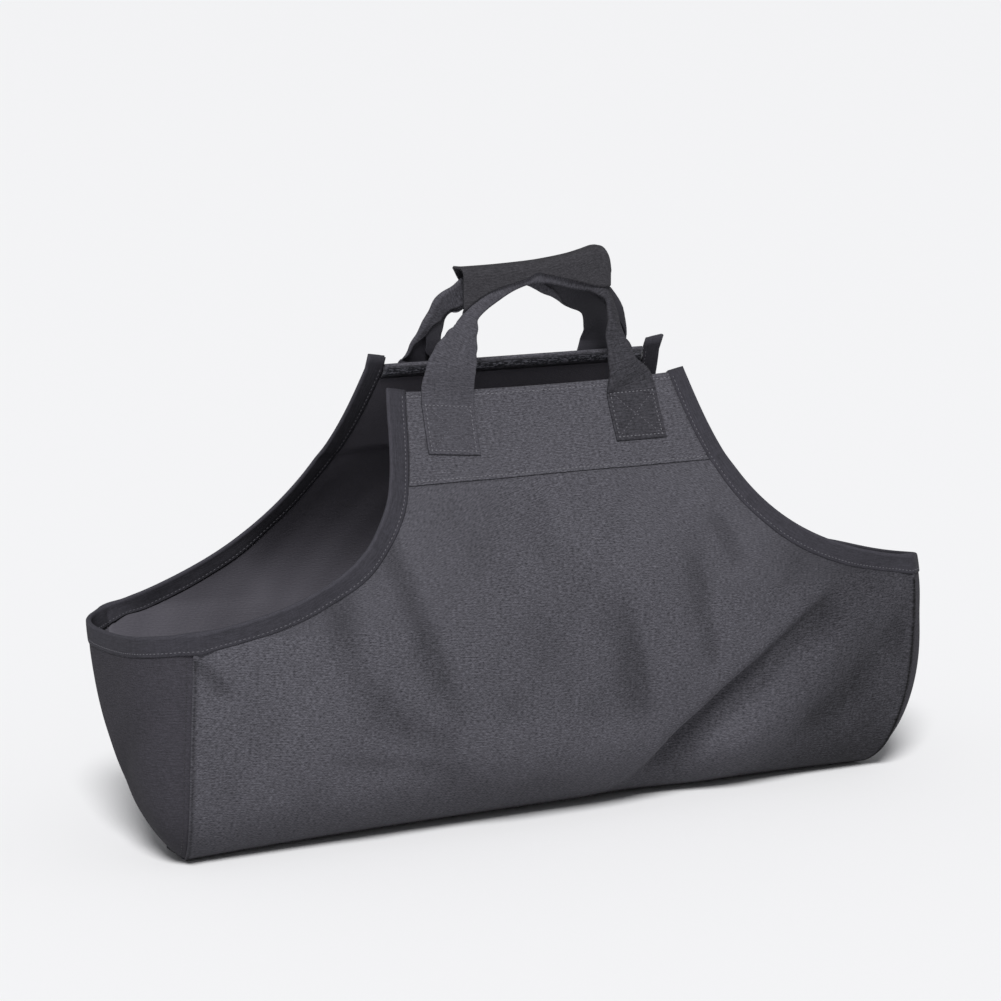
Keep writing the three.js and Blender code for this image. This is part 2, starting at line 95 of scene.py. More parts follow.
# Stretches of the sheet between its corners: face, steps along it, and the two inner Bezier points of the
# edge and of the middle line.
STRETCH_ROWS = (
    ("front", 24, ((128, -36, 305), (131, -51, 282)), ((0, -35, 302), (0, -46, 281))),
    ("front", 48, ((157, -88, 223), (193, -106, 190)), ((0, -74, 237), (0, -97, 205))),
    ("front", 72, ((309, -90, 105), (300, -80, 6)), ((0, -103, 105), (-5, -91, 6))),
    ("base", 12, ((288, -25, BASE_Z), (288, -15, BASE_Z)), ((-5, -2, BASE_Z), (-5, 17, BASE_Z))),
    ("back", 52, ((299, -27, 26), (309, 60, 90)), ((-5, 80, 2), (0, 112, 70))),
    ("back", 36, ((193, 116, 178), (157, 84, 228)), ((0, 116, 200), (0, 80, 246))),
    ("back", 20, ((131, 40, 292), (128, 24, 315)), ((0, 42, 294), (0, 25, 316))),
)
STRETCHES = []
for (face, steps, edge, middle), start, end in zip(STRETCH_ROWS, CORNERS, CORNERS[1:]):
    STRETCHES.append({
        "face": face, "steps": steps,
        "edge": (start[0], *edge, end[0]),
        "middle": (start[1], *middle, end[1]),
    })
FRONT_YOKE, FRONT_NECK, FRONT_WALL, _, BACK_WALL, BACK_NECK, BACK_YOKE = range(len(STRETCHES))

# Folds in the two faces: a line from (x0, z0) to (x1, z1), the depth of the valley, how far it reaches on
# its upper and lower side, and how far its middle is bowed upwards. A depth below zero is a ridge.
FOLDS = {
    "front": (
        (212, 146, 76, 33, 7, 7, 24, 4),
        (158, 101, 86, 41, 9, 11, 30, 2),
        (238, 108, 132, 32, -4.5, 20, 26, 0),
        (290, 126, 208, 44, 3.6, 17, 26, 0),
        (-152, 234, -102, 100, 4.2, 11, 15, -6),
        (-195, 184, -116, 75, 3.6, 15, 18, -18),
        (33, 172, 59, 64, 3.2, 8, 24, 0),
        (97, 190, 114, 110, 3.4, 9, 15, -2),
        (121, 222, 138, 186, 2.6, 7, 11, 0),
        (-18, 248, -31, 204, 1.2, 14, 16, 0),
        (-186, 70, -112, 56, 1.6, 6, 10, 0),
        (-96, 66, 56, 58, -5.5, 26, 20, -4),
        (-301, 157, -277, 131, 3.2, 4, 8, 0),
    ),
    "back": (
        (205, 150, 110, 60, 6, 16, 26, 0),
        (-180, 160, -110, 70, 7, 16, 26, 0),
        (30, 190, 20, 90, 3, 20, 20, 0),
    ),
}

# Slack waves of the cloth: run of the wave across and up, height and phase. They set in above the base,
# below the top bands and away from the edges, from the first figure to the second.
WAVES = (
    (173, 240, 0.9, 0.7),
    (-96, 131, 0.55, 2.1),
    (61, 88, 0.3, 4.4),
    (-37, 49, 0.14, 1.2),
)
SLACK = {"base": (12, 52), "top": (285, 225), "edge": (0, 0.12)}

# Ridges beside the seams of the end panels, on the sheet and on the panels: height, distance from the
# seam and reach. The one on the sheet sets in from the first height to the second at its top and its foot.
SHEET_RIDGE = {"height": 0.8, "away": 1.5, "reach": 2.2, "top": (165, 157), "foot": (6, 18)}
PANEL_RIDGE = {"height": 0.7, "away": 2, "reach": 2.2}

# Creases of the end panels: where they start at the front seam, how far they run down on the way to the
# back seam, half width and depth. The first three are shares of the panel's height.
END_CREASES = (
    (0.16, 0.5, 0.07, 3.2),
    (0.8, -0.5, 0.09, 1.8),
)

# Binding: points across one half of it, from its inner edge to the fold, as the distance from the cloth's
# edge and how thick the tape is there. It is thin at its turned edge and pressed in at the stitches, which
# run along the points numbered TAPE_SEWN. The fold's points are given by their angles.
TAPE_REACHES = np.array([TAPE_WIDTH, 11.6, 10.4, 9.2, 6.5, 3.2, 0.6])
TAPE_SWELLS = np.array([0.45, 0.95, 0.55, 1.0, 1.15, 1.2, 1.2])
TAPE_SEWN = 2
TAPE_FOLD_SWELL = 1.2
TAPE_FOLD_ANGLES = np.radians([25, 60, 90, 120, 155])
TAPE_GAP = 0.12
TAPE_FOLD_GAP = 0.3

# Where the binding passes from the sheet to an end panel, the panel's first columns are left out. The way
# into the cloth is taken over some columns of the sheet and some rows of the panel.
RIM_SKIP = 3
INTO_COLUMNS = 3
INTO_ROWS = 6

# Straps between the two patches: middle of the strap, how much of its width is turned in on the inner
# and the outer side of the handle, the way its outer side faces, and how much of the dark coat shows
# on its inner side, on all parts that are turned in, and on the part turned in on the inner side of the
# handle alone. On the back strap's right half, values of the coat between 0 and 1 are painted shade from the
# grip wrap.
FRONT_STRAP_PATH = (
    ((-75.2, -31, 337), 0.5, 5, (0, -1, 0.25), 1, 0, 0),
    ((-71, -29.5, 347), 1.5, 8.5, (0, -1, 0.25), 1, 0, 0),
    ((-65, -27, 357), 5, 13, (0, -1, 0.25), 1, 0, 0),
    ((-57.7, -22, 366.1), 9.5, 19.5, (-0.1, -1, 0.25), 1, 0, 0),
    ((-51.2, -17, 375), 15, 20, (-0.2, -0.95, 0.2), 0.5, 0, 0),
    ((-29, -13, 393.5), 14, 14, (0, -1, 0.1), 0, 0, 0),
    ((-2, -12.4, 402.5), 15, 15, (0, -1, 0), 0, 0, 0),
    ((13, -12.3, 402.5), 15, 15, (0, -1, 0), 0, 0, 0),
    ((37, -12.3, 399), 13, 13, (0, -1, 0), 0, 0, 0),
    ((56, -13, 393), 14, 14, (0.3, -0.95, 0), 0, 0, 0),
    ((64.2, -15, 381), 15.5, 15.5, (0.75, -0.65, 0), 0.5, 0, 0),
    ((66, -19, 368), 15, 15, (0.6, -0.8, 0.1), 1, 0, 0),
    ((65.3, -25.5, 351), 13, 13, (0.25, -0.95, 0.2), 1, 0, 0),
    ((67.2, -28.5, 343.5), 11.5, 12, (0.1, -0.97, 0.2), 1, 0, 0),
    ((67.6, -31, 335.7), 9, 13, (0, -1, 0.2), 1, 0, 0),
)
BACK_STRAP_PATH = (
    ((-75.6, 19, 336.5), 9, 1, (0, 1, 0.25), 1, 0, 1),
    ((-75, 14.5, 348), 15, 4.5, (0, 1, 0.25), 1, 0, 1),
    ((-71.6, 9, 363), 16, 11, (0, 1, 0.25), 1, 0, 1),
    ((-67.9, 6, 374), 13.5, 17, (0, 1, 0.25), 1, 0, 1),
    ((-63.1, 2.5, 382), 5, 21.7, (0, 1, 0.25), 0, 0, 0),
    ((-54.3, -0.5, 386.3), 1.5, 22, (0, 1, 0.2), 0, 0, 0),
    ((-44, -3, 394), 8, 15, (0, 1, 0.1), 0, 0, 0),
    ((-22, -4, 399.5), 14.5, 14.5, (0, 1, 0), 0, 0, 0),
    # Coat values between 0 and 1 on these stations are painted shade from the grip wrap.
    ((0, -4, 401.5), 14.5, 14.5, (0, 1, 0), 0.2, 0, 0),
    ((22, -3.5, 396), 8, 14, (0, 1, 0), 0.3, 0, 0),
    ((43, -1, 389.5), 2, 12, (0, 1, 0.1), 0.6, 0, 0),
    ((63.5, 3, 377.5), 0, 14, (0, 1, 0.2), 1, 1, 0),
    ((74.7, 10, 361), 0, 9, (0, 1, 0.25), 1, 1, 0),
    ((78, 17.5, 346), 0, 4, (0, 1, 0.25), 1, 1, 0),
)

# Straps: the gap at their turned-in sides and the one under the patches, the painted shade on the right leg,
# which turns away from the light, points across a strap and steps between two rows of its path.
STRAP_SLIP = 0.2
STRAP_ROOM = 0.5
STRAP_RIGHT_PAINTED_SHADE = 0.8
STRAP_POINTS = 49
STRAP_STEPS = 8

# Sections of the grip wrap from left to right: X, height of the top, and height of the lower edges in front
# and behind.
WRAP_MIDDLE_Y = -8
WRAP_HALF = 8.8
WRAP_CORNER = 6
WRAP_SECTIONS = (
    (-58, 410, 377.5, 408.2),
    (-51, 410, 383, 398),
    (-38, 410.2, 390.6, 402),
    (-24, 410.6, 395.1, 399),
    (-5, 411.5, 400, 398),
    (3, 412, 403.6, 398),
    (11, 412.7, 402, 399),
    (34, 415.8, 396.2, 406),
    (46, 418.5, 393, 407),
    (56, 421, 390.3, 408),
    (60.5, 420.4, 390, 408),
    (64, 416, 390.4, 406),
    (65.5, 408, 391, 402),
)

# Weave: width of the thin yarns' repeat and of one thick yarn, and the yarns' unevenness in repeats per
# metre across and along the cloth.
WEAVE = {"across": 1.0, "along": 1.15}
SLUB = (400.0, 1000.0, 1.0)
STREAK = (110.0, 900.0, 1.0)
UPRIGHT = (850.0, 60.0, 1.0)

# Painted light and shade on the front, where it turns towards and away from the light: paler towards the
# left, darker towards the right and more so low down there. It sets in from the first place to the second.
# Rises are rubbed pale by wear and hollows are darkened with painted shade.
FRONT_PAINTED_LIGHT_LEFT = {"x": (-60, -220), "wear_and_painted_light": 0.16}
FRONT_PAINTED_SHADE_RIGHT = {"x": (130, 260), "wear_and_painted_light": -0.78}
FRONT_PAINTED_SHADE_LOW = {"z": (150, 50), "wear_and_painted_light": -0.14}
RUB_AND_HOLLOW_SHADE = {"share": 0.25, "darkest": -0.6, "palest": 0.06}

# Dark grooves beside the seams of the end panels, column by column from the edge, up to some height.
SEAM_SHADOWS = (0.3, 1.15, 0.3)
SEAM_TOP_Z = 158

# Painted shade near the ground, darker towards the bottom: the height in metres where it ends, how fast it
# fades per metre and its strength.
GROUND_PAINTED_SHADE = {"top": 0.046, "fade": 26.0, "strength": 0.36}

# Stitches: distance from one to the next, length and width of the thread that shows.
STITCH = {"Pitch": 3.4, "Length": 2.2, "Width": 0.8}
PATCH_STITCH = {"Pitch": 3.2, "Length": 1.9, "Width": 0.8}
SEAM_STITCH_AWAY = 4.5
THREAD_LIFT = 0.1


def unit(vectors):
    """Vectors of length one."""
    length = np.linalg.norm(vectors, axis=-1, keepdims=True)
    return vectors / np.maximum(length, 1e-9)


def smooth_step(share):
    """0 below 0 and 1 above 1, with a soft start and end."""
    share = np.clip(share, 0, 1)
    return share * share * (3 - 2 * share)


def ramp(values, start, end):
    """0 before start and 1 after end, with a soft rise between."""
    return smooth_step((values - start) / (end - start))


def bezier(points, t):
    """Points of a cubic Bezier curve."""
    t = np.asarray(t, float)[..., None]
    a, b, c, d = np.array(points, float)
    return (1 - t) ** 3 * a + 3 * (1 - t) ** 2 * t * b + 3 * (1 - t) * t ** 2 * c + t ** 3 * d


def sheet_point(stretch, t, u):
    """The sheet without folds: part t along a stretch, u from -1 at the left edge to 1."""
    edge = bezier(STRETCHES[stretch]["edge"], t)
    middle = bezier(STRETCHES[stretch]["middle"], t)
    place = middle + (edge - middle) * (np.abs(u) ** ROUNDING)[..., None]
    place[..., 0] = middle[..., 0] + u * edge[..., 0]
    return place


def fold_depth(face, x, z):
    """How far the folds push a face inwards at (x, z)."""
    total = np.zeros_like(x)
    for x0, z0, x1, z1, depth, upper, lower, bow in FOLDS[face]:
        run_x = x1 - x0
        run_z = z1 - z0
        length = math.hypot(run_x, run_z)
        along = ((x - x0) * run_x + (z - z0) * run_z) / length ** 2
        beside = ((z - z0) * run_x - (x - x0) * run_z) / length
        held = np.clip(along, 0, 1)
        above = math.copysign(1, run_x) * beside - bow * 4 * held * (1 - held)
        reach = np.where(above > 0, upper, lower)
        past = np.maximum(0, np.abs(along - 0.5) - 0.3) / 0.3
        total += depth * np.exp(-((above / reach) ** 2) - past ** 2)
    return total


def slack(x, z):
    """The cloth's own low waves."""
    total = np.zeros_like(x)
    for across, up, height, phase in WAVES:
        total += height * np.sin(math.tau * (x / across + z / up) + phase)
    return total


def grid_normals(grid):
    """Outward normals of a grid of points, from the faces around each point."""
    rising = grid[:-1, 1:] - grid[1:, :-1]
    falling = grid[1:, 1:] - grid[:-1, :-1]
    faces = np.pad(np.cross(falling, rising), ((1, 1), (1, 1), (0, 0)))
    return unit(faces[1:, 1:] + faces[1:, :-1] + faces[:-1, 1:] + faces[:-1, :-1])


class Cloth:
    """A grid of points on a cloth's middle surface, with normals on its outer side."""

    def __init__(self, grid):
        self.grid = grid
        self.normals = grid_normals(grid)

    def at(self, row, column, lift=0.0):
        """Points and normals between the grid's own, raised by lift."""
        rows, columns = self.grid.shape[:2]
        row, column = np.broadcast_arrays(
            np.clip(row, 0, rows - 1.001), np.clip(column, 0, columns - 1.001))
        r = row.astype(int)
        c = column.astype(int)
        down = (row - r)[..., None]
        right = (column - c)[..., None]

        def between(field):
            upper = field[r, c] * (1 - right) + field[r, c + 1] * right
            lower = field[r + 1, c] * (1 - right) + field[r + 1, c + 1] * right
            return upper * (1 - down) + lower * down

        normals = unit(between(self.normals))
        return between(self.grid) + lift * normals, normals


def arc_lengths(grid, axis):
    """Distance along one axis of a grid of points, from its first line."""
    steps = np.linalg.norm(np.diff(grid, axis=axis), axis=-1)
    first = np.zeros_like(np.take(steps, [0], axis=axis))
    return np.concatenate([first, np.cumsum(steps, axis=axis)], axis=axis)


def cloth_map(grid):
    """Millimetres across and along the cloth at each point of a grid, counted from its middle."""
    across = arc_lengths(grid, 1)
    along = arc_lengths(grid, 0)
    row, column = np.array(grid.shape[:2]) // 2
    return np.stack([across - across[:, [column]], along - along[[row]]], axis=-1)


def linked(name, content):
    """An object in the scene."""
    made = bpy.data.objects.new(name, content)
    bpy.context.scene.collection.objects.link(made)
    return made


def grid_faces(rows, columns, start=0):
    """Corner numbers of the faces of a grid of points."""
    spots = start + np.arange(rows * columns).reshape(rows, columns)
    corners = [spots[:-1, :-1], spots[1:, :-1], spots[1:, 1:], spots[:-1, 1:]]
    return np.stack(corners, axis=-1).reshape(-1, 4)


def shell_faces(rows, columns):
    """Faces of a closed body between an outer and an inner grid."""
    count = rows * columns
    outer = grid_faces(rows, columns)
    inner = outer[:, [0, 3, 2, 1]] + count
    spots = np.arange(count).reshape(rows, columns)
    rim = np.concatenate([spots[0, :-1], spots[:-1, -1], spots[-1, :0:-1], spots[:0:-1, 0]])
    after = np.roll(rim, -1)
    walls = np.stack([rim, after, after + count, rim + count], axis=-1)
    return np.concatenate([outer, inner, walls]).tolist()


def shell_piece(name, outer, inner, finish, places, wear_and_painted_light=0.0, inside=(0.0, 1.0)):
    """A closed cloth piece between two grids in millimetres, with its cloth map and its finish. The inside
    mark says where the coated side shows."""
    shape = outer.shape[:2]
    mesh = bpy.data.meshes.new(name)
    mesh.from_pydata((np.stack([outer, inner]).reshape(-1, 3) * MM).tolist(), [], shell_faces(*shape))
    mesh.validate()
    corner_points = np.zeros(len(mesh.loops), np.int32)
    mesh.loops.foreach_get("vertex_index", corner_points)
    layer = mesh.uv_layers.new(name="cloth")
    spread = (np.tile(places.reshape(-1, 2), (2, 1)) * MM)[corner_points]
    layer.data.foreach_set("uv", spread.astype(np.float32).ravel())
    # The second mark carries wear together with painted light and shade.
    for label, sides in (("inside", inside), ("wear_and_painted_light", (wear_and_painted_light, wear_and_painted_light))):
        attribute = mesh.attributes.new(label, "FLOAT", "POINT")
        values = np.stack([np.broadcast_to(side, shape) for side in sides])
        attribute.data.foreach_set("value", values.astype(np.float32).ravel())
    mesh.polygons.foreach_set("use_smooth", np.ones(len(mesh.polygons), bool))
    mesh.materials.append(finish)
    return linked(name, mesh)


def cloth_piece(name, cloth, thick, finish, wear_and_painted_light=0.0, inside=(0.0, 1.0), places=None):
    """A closed cloth piece of one thickness about a cloth's middle surface."""
    lift = cloth.normals * thick / 2
    if places is None:
        places = cloth_map(cloth.grid)
    return shell_piece(name, cloth.grid + lift, cloth.grid - lift, finish, places, wear_and_painted_light, inside)


def softened(field, times):
    """A field of numbers on a grid, averaged with its neighbours."""
    for _ in range(times):
        padded = np.pad(field, 1, mode="edge")
        field = (padded[:-2, 1:-1] + padded[2:, 1:-1] + padded[1:-1, :-2] + padded[1:-1, 2:]) / 4
    return field


class Value:
    """A number, place or colour that changes over a surface. Arithmetic on a number adds Math nodes."""

    def __init__(self, finish, socket):
        self.finish = finish
        self.socket = socket

    def math(self, operation, *others):
        inputs = dict(enumerate((self, *others)))
        return self.finish.node("ShaderNodeMath", {"operation": operation}, inputs)

    def __add__(self, other):
        return self.math("ADD", other)

    def __sub__(self, other):
        return self.math("SUBTRACT", other)

    def __rsub__(self, other):
        return self.math("MULTIPLY_ADD", -1.0, other)

    def __mul__(self, other):
        return self.math("MULTIPLY", other)

    def __truediv__(self, other):
        return self.math("DIVIDE", other)

    __radd__ = __add__
    __rmul__ = __mul__

    def clamped(self):
        return self.math("MAXIMUM", 0.0).math("MINIMUM", 1.0)


def feed(tree, socket, value):
    """Link a node's input, or set it where the value is the same all over."""
    if isinstance(value, Value):
        value = value.socket
    if isinstance(value, bpy.types.NodeSocket):
        tree.links.new(value, socket)
    else:
        socket.default_value = value


def add_node(tree, kind, settings=None, inputs=None):
    """A node with its settings and inputs."""
    made = tree.nodes.new(kind)
    for label, value in (settings or {}).items():
        setattr(made, label, value)
    for label, value in (inputs or {}).items():
        feed(tree, made.inputs[label], value)
    return made


class Finish:
    """A material and the kinds of node that its surface needs."""

    def __init__(self, name):
        self.material = bpy.data.materials.new(name)
        self.material.use_nodes = True
        self.tree = self.material.node_tree
        self.surface = self.tree.nodes["Principled BSDF"]

    def node(self, kind, settings=None, inputs=None, output=0):
        return Value(self, add_node(self.tree, kind, settings, inputs).outputs[output])

    def set(self, label, value):
        feed(self.tree, self.surface.inputs[label], value)

    def part(self, places, axis):
        return self.node("ShaderNodeSeparateXYZ", {}, {"Vector": places}, axis)

    def noise(self, places, scale, detail):
        inputs = {"Vector": places, "Scale": scale, "Detail": detail}
        return self.node("ShaderNodeTexNoise", {"noise_dimensions": "3D"}, inputs)

    def yarn_noise(self, places, repeats):
        stretched = self.node("ShaderNodeMapping", {}, {"Vector": places, "Scale": repeats})
        return self.noise(stretched, 1.0, 1.0)

    def mark(self, label):
        return self.node("ShaderNodeAttribute", {"attribute_name": label}, {}, "Fac")

    def mixed(self, share, first, second):
        inputs = {0: share, 6: first, 7: second}
        return self.node("ShaderNodeMix", {"data_type": "RGBA"}, inputs, 2)

    def scaled(self, colour, share):
        if isinstance(colour, tuple):
            colour = colour[:3]
        return self.node("ShaderNodeVectorMath", {"operation": "SCALE"}, {0: colour, 3: share})

    def bumped(self, height, strength, distance):
        inputs = {"Height": height, "Strength": strength, "Distance": distance * MM}
        self.set("Normal", self.node("ShaderNodeBump", {}, inputs))


def shade(red, green, blue):
    """A colour from its screen values, as light."""
    def light(level):
        level = level / 255
        return level / 12.92 if level <= 0.04045 else ((level + 0.055) / 1.055) ** 2.4

    return (light(red), light(green), light(blue), 1.0)


def woven_finish(name, yarn, gap, lining, relief, lining_rough, contrast=1.0, flecks=0.0):
    """Plain-woven cloth: thick yarns across that pass over and under thin ones, uneven dye, painted shade
    near the ground, wear with painted light and shade from a mark, and a coated inner side with pale flecks
    painted on as glints of its crinkles."""
    finish = Finish(name)
    places = finish.node("ShaderNodeUVMap", {"uv_map": "cloth"})
    above_ground = finish.part(finish.node("ShaderNodeTexCoord", {}, {}, "Object"), "Z")
    across = finish.part(places, "X") / (WEAVE["across"] * MM)
    along = finish.part(places, "Y") / (WEAVE["along"] * MM)
    weft = (along * math.pi).math("SINE").math("ABSOLUTE")
    over = (across * math.pi + along.math("FLOOR") * 3.1).math("SINE") * 0.5 + 0.5
    slub = finish.yarn_noise(places, SLUB)
    streak = finish.yarn_noise(places, STREAK)
    upright = finish.yarn_noise(places, UPRIGHT)
    cloud = finish.noise(places, 9.0, 3.0)
    inside = finish.mark("inside")
    wear_and_painted_light = finish.mark("wear_and_painted_light")
    height = weft * (over * 0.6 + 0.4)
    share = 0.5 + ((height - 0.45) * 0.2 + (slub - 0.5) * 1.2) * contrast
    face = finish.mixed(share.clamped(), gap, yarn)
    # Painted shade: the cloth is darker near the ground.
    ground_shade = ((GROUND_PAINTED_SHADE["top"] - above_ground) * GROUND_PAINTED_SHADE["fade"]).clamped()
    # The tone takes in wear and painted light and shade from the mark.
    tone = 0.33 + cloud * 0.2 + streak * 0.78 + upright * 0.36 + wear_and_painted_light * 0.5
    face = finish.scaled(face, tone * (1 - ground_shade * GROUND_PAINTED_SHADE["strength"]))
    # Pale flecks painted on the coat where the mark asks: painted glints of its crinkles.
    painted_glints = ((slub + streak - 1.0) * 6.0 + 0.1).clamped() * flecks
    coated = finish.scaled(lining, 0.7 + cloud * 0.3 + slub * 0.3 + wear_and_painted_light * painted_glints)
    finish.set("Base Color", finish.mixed(inside, face, coated))
    finish.set("Roughness", 0.95 - inside * (0.95 - lining_rough) - wear_and_painted_light * 0.1 + (slub - 0.5) * 0.2)
    finish.set("Specular IOR Level", 0.25)
    finish.bumped(height * (0.5 - inside * 0.3) + streak * 0.8 + slub * 0.8, 0.8, relief)
    return finish.material


def thread_finish(name, colour):
    """Sewing thread, a little uneven."""
    finish = Finish(name)
    places = finish.node("ShaderNodeTexCoord", {}, {}, "Object")
    fuzz = finish.noise(places, 900.0, 2.0)
    tone = finish.noise(places, 60.0, 1.0)
    finish.set("Base Color", finish.scaled(colour, 0.6 + fuzz * 0.5 + tone * 0.4))
    finish.set("Roughness", 0.6 + fuzz * 0.3)
    finish.bumped(fuzz, 0.5, 0.1)
    return finish.material


LINING = shade(86, 84, 91)
canvas = woven_finish(
    "dark_grey_canvas", shade(96, 95, 102), shade(36, 35, 40), LINING, 0.22, 0.5, 1.25)
# A darker copy of the canvas on the end panels: painted shade, as they face away from the light.
end_canvas_painted_shade = woven_finish(
    "end_panel_canvas_painted_shade", shade(66, 64, 71), shade(32, 31, 35), LINING, 0.22, 0.5, 0.8)
band_canvas = woven_finish(
    "top_band_canvas", shade(97, 96, 103), shade(38, 37, 42), shade(46, 46, 50), 0.22, 0.36, 1.25, 4.0)
tape_cloth = woven_finish(
    "edge_tape_twill", shade(64, 63, 70), shade(37, 36, 41), shade(62, 61, 67), 0.12, 0.85, 0.6)
strap_cloth = woven_finish(
    "strap_canvas", shade(90, 89, 96), shade(38, 37, 42), shade(54, 53, 59), 0.14, 0.6, 1.0)
wrap_cloth = woven_finish(
    "grip_canvas", shade(68, 67, 71), shade(32, 31, 35), shade(48, 48, 52), 0.14, 0.8, 1.0)
thread = thread_finish("sewing_thread", shade(102, 101, 107))
dark_thread = thread_finish("dark_sewing_thread", shade(82, 81, 87))
seam_thread = thread_finish("seam_thread", shade(40, 39, 44))


# The sheet with its folds.
row_starts = np.concatenate([[0], np.cumsum([stretch["steps"] for stretch in STRETCHES])])
columns_s = np.linspace(-1, 1, SHEET_COLUMNS)
columns_u = 0.45 * columns_s + 0.55 * np.sin(columns_s * math.pi / 2)
sheet_rows = []
sheet_faces = []
for index, stretch in enumerate(STRETCHES):
    for step in range(0 if index == 0 else 1, stretch["steps"] + 1):
        t = np.full(SHEET_COLUMNS, step / stretch["steps"])
        sheet_rows.append(sheet_point(index, t, columns_u))
        sheet_faces.append(stretch["face"])
smooth_sheet = np.array(sheet_rows)
smooth_normals = grid_normals(smooth_sheet)
sheet_x = smooth_sheet[..., 0]
sheet_z = smooth_sheet[..., 2]
is_front = np.array(sheet_faces) == "front"
is_back = np.array(sheet_faces) == "back"
front = is_front[:, None]


def on_sheet(stretch, t, u, lift=0.0):
    """Points and normals on the sheet at part t of a stretch, from u = -1 at the left edge to 1."""
    row = row_starts[stretch] + t * STRETCHES[stretch]["steps"]
    return sheet.at(row, np.interp(u, columns_u, np.arange(SHEET_COLUMNS)), lift)


def ridge_height(ridge, away):
    """Height of a ridge beside a seam, at some distance from the seam."""
    return ridge["height"] * np.exp(-(((away - ridge["away"]) / ridge["reach"]) ** 2))


def sheet_moves():
    """How far each point of the sheet lies outside its smooth form."""
    moves = np.zeros_like(sheet_x)
    for rows, face in ((is_front, "front"), (is_back, "back")):
        moves[rows] -= fold_depth(face, sheet_x[rows], sheet_z[rows])
    free = ramp(sheet_z, *SLACK["base"]) * ramp(sheet_z, *SLACK["top"])
    free = free * ramp(1 - np.abs(columns_u), *SLACK["edge"])
    moves = moves + slack(sheet_x, sheet_z) * free
    # The sheet dips under the top bands, so that their faces run on into it.
    down = arc_lengths(smooth_sheet, 0)[:, SHEET_COLUMNS // 2]
    front_edge = down[row_starts[FRONT_NECK]]
    back_edge = down[row_starts[BACK_YOKE]]
    dip = ramp(down, front_edge + DIP_RUN, front_edge) + ramp(down, back_edge - DIP_RUN, back_edge)
    moves = moves - (YOKE_GAP + YOKE_THICK) * dip[:, None]
    # A low ridge runs beside the seams of the end panels.
    to_edge = (1 - np.abs(columns_u)) * np.abs(sheet_x[:, [-1]])
    wall = ramp(sheet_z, *SHEET_RIDGE["top"]) * ramp(sheet_z, *SHEET_RIDGE["foot"])
    return moves + wall * ridge_height(SHEET_RIDGE, to_edge)


moves = sheet_moves()
sheet = Cloth(smooth_sheet + smooth_normals * moves[..., None])
# Painted shade in the hollows of the folds, rises rubbed pale by wear, painted light and shade over the
# front and painted shadows beside the seams.
rise = moves - softened(moves, 60)
rub_and_hollow_shade = np.clip(rise * RUB_AND_HOLLOW_SHADE["share"], RUB_AND_HOLLOW_SHADE["darkest"], RUB_AND_HOLLOW_SHADE["palest"])
sheet_wear_and_painted_light = rub_and_hollow_shade + front * FRONT_PAINTED_LIGHT_LEFT["wear_and_painted_light"] * ramp(sheet_x, *FRONT_PAINTED_LIGHT_LEFT["x"])
low_painted_shade = FRONT_PAINTED_SHADE_LOW["wear_and_painted_light"] * ramp(sheet_z, *FRONT_PAINTED_SHADE_LOW["z"])
sheet_wear_and_painted_light += front * (FRONT_PAINTED_SHADE_RIGHT["wear_and_painted_light"] + low_painted_shade) * ramp(sheet_x, *FRONT_PAINTED_SHADE_RIGHT["x"])
seam_rows = (sheet_z[:, 0] < SEAM_TOP_Z) & (is_front | is_back)
for column, shadow in enumerate(SEAM_SHADOWS):
    sheet_wear_and_painted_light[seam_rows, column] -= shadow
    sheet_wear_and_painted_light[seam_rows, -1 - column] -= shadow
body = cloth_piece("canvas_body", sheet, SHEET_THICK, canvas, sheet_wear_and_painted_light)


def end_panel(side):
    """End panel of one side: rows from the rim down, columns from the front seam to the back one, or
    the other way round on the left. Also the light and shade painted on it: painted light beside the front
    seam and painted shade in the creases."""
    count = STRETCHES[FRONT_WALL]["steps"]
    share = (1 - np.cos(np.linspace(0, math.pi, END_COLUMNS + 1))) / 2
    rows = []
    panel_painted_light = []
    for step in range(count + 1):
        down = step / count
        seam = []
        for stretch, t in ((FRONT_WALL, down), (BACK_WALL, 1 - down)):
            place, normal = on_sheet(stretch, t, side)
            seam.append(place - normal * END_CLEARANCE - np.array([side * END_INSET, 0, 0]))
        line = seam[0] + (seam[1] - seam[0]) * share[:, None]
        round_out = 1 - (2 * share - 1) ** 4
        line[:, 0] += side * END_BULGE * (1 - down ** 3) ** 1.5 * round_out
        line[:, 2] -= END_DIP * (1 - down) * 4 * share * (1 - share)
        line[:, 2] += END_LIFT * down ** 4
        crease = np.zeros(share.shape)
        for start, run, width, depth in END_CREASES:
            beside = (down - start - run * share) / width
            crease += depth * np.exp(-beside ** 2) * np.sin(math.pi * share)
        line[:, 0] -= side * crease * (1 - down)
        across = np.linalg.norm(line - line[0], axis=1)
        to_seam = np.minimum(across, across[-1] - across)
        line[:, 0] += side * ridge_height(PANEL_RIDGE, to_seam) * smooth_step((0.97 - down) / 0.05)
        rows.append(line)
        # Painted light beside the front seam and painted shade in the creases.
        panel_painted_light.append(0.3 * (1 - smooth_step(share / 0.6)) - 0.1 - 0.07 * crease)
    return Cloth(np.array(rows)[:, ::side]), np.array(panel_painted_light)[:, ::side]


panels = {}
panel_pieces = {}
for side, word in ((-1, "left"), (1, "right")):
    panels[side], panel_painted_light = end_panel(side)
    panel_pieces[side] = cloth_piece(
        f"end_panel_{word}_cloth", panels[side], SHEET_THICK, end_canvas_painted_shade, panel_painted_light)


def surface_tree(cloths):
    """A search tree over the middle surfaces of some cloths."""
    points = []
    faces = []
    for cloth in cloths:
        faces.extend(grid_faces(*cloth.grid.shape[:2], start=len(points)).tolist())
        points.extend(cloth.grid.reshape(-1, 3).tolist())
    return BVHTree.FromPolygons(points, faces)


